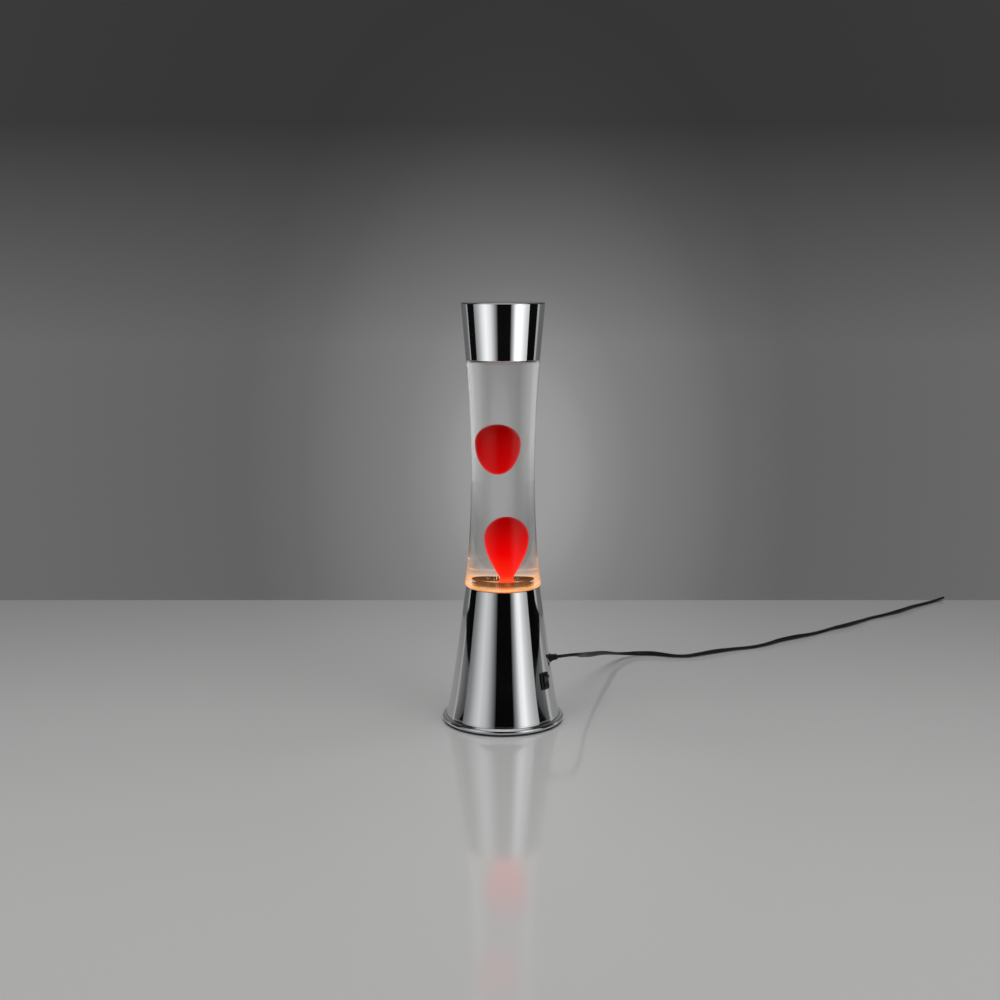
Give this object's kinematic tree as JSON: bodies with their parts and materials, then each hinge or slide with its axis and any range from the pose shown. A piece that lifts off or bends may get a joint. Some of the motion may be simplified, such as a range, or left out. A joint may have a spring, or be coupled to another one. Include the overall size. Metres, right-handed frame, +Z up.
{
  "type": "lava lamp",
  "caption": "Wax motion lamp: flared chromed base with a reflector bulb, waisted glass bottle of clear liquid and red wax, lift-off chromed cap, rocker switch and flat mains lead.",
  "frame": {"origin": "bottom centre of the lamp, on the table, on the axis of the base and bottle", "axes": "+Z up along the lamp's axis, the lamp's front towards -Y, the cord leaves towards +X"},
  "size_m": [0.7287, 0.634, 0.395],
  "materials": {
    "chrome_shell": "mirror-bright chrome plating",
    "black_steel": "satin black paint",
    "rubber_pad": "matt",
    "zinc_steel": "zinc plated",
    "nickel": "nickel plated",
    "brass": "bare",
    "holder_black": "moulded phenolic",
    "switch_black": "moulded, light gloss",
    "cord_black": "soft PVC",
    "wire_brown": "PVC insulation",
    "wire_black": "PVC insulation",
    "wire_blue": "PVC insulation",
    "clear_glass": "clear, moulded",
    "lamp_glass": "clear dome, silvered bowl",
    "liquid": "clear liquid",
    "red_wax": "soft wax, lit from below",
    "coil_wire": "bright wire",
    "tungsten": "glowing",
    "crown_steel": "lacquered tinplate",
    "liner": "soft plastic"
  },
  "bodies": {
    "base": {"base_shell": "chrome_shell", "shell_lugs": "zinc_steel", "base_plate": "black_steel", "plate_screws": "zinc_steel", "rubber_feet": "rubber_pad", "holder_bracket": "zinc_steel", "bracket_screws": "zinc_steel", "bracket_nuts": "zinc_steel", "holder_nipple": "brass", "nipple_nuts": "zinc_steel", "lamp_holder": "holder_black", "holder_sleeve": "brass", "holder_contact": "brass", "switch_housing": "switch_black", "switch_terminals": "zinc_steel", "wire_live": "wire_brown", "wire_switched": "wire_black", "wire_neutral": "wire_blue", "strain_relief": "cord_black", "power_cord": "cord_black", "cord_coil": "cord_black", "coil_tie": "cord_black", "plug_body": "cord_black", "plug_pins": "nickel"},
    "bulb": {"bulb_glass": "lamp_glass", "bulb_cap": "nickel", "bulb_insulator": "holder_black", "bulb_contact": "nickel", "bulb_stem": "lamp_glass", "bulb_filament": "tungsten"},
    "rocker": {"switch_rocker": "switch_black"},
    "bottle": {"glass_bottle": "clear_glass", "carrier_liquid": "liquid", "wax_column": "red_wax", "heating_coil": "coil_wire", "crown_cap": "crown_steel", "crown_liner": "liner"},
    "blob": {"wax_blob": "red_wax"},
    "cap": {"top_cap": "chrome_shell"}
  },
  "joints": [
    {"name": "bottle_lift", "type": "slide", "parent": "base", "child": "bottle", "axis": [0, 0, 1], "range_m": [0, 0.06]},
    {"name": "cap_lift", "type": "slide", "parent": "bottle", "child": "cap", "axis": [0, 0, 1], "range_m": [0, 0.06]},
    {"name": "blob_drift", "type": "slide", "parent": "bottle", "child": "blob", "axis": [0, 0, 1], "range_m": [-0.035, 0.05], "deforming": ["carrier_liquid"]},
    {"name": "bulb_turn", "type": "hinge", "parent": "base", "child": "bulb", "pos_m": [0, 0, 0.06], "axis": [0, 0, 1], "continuous": true},
    {"name": "rocker_tilt", "type": "hinge", "parent": "base", "child": "rocker", "pos_m": [0.03922, -0.02645, 0.04459], "axis": [0.5592, 0.829, 0], "range_deg": [-20, 0]}
  ]
}
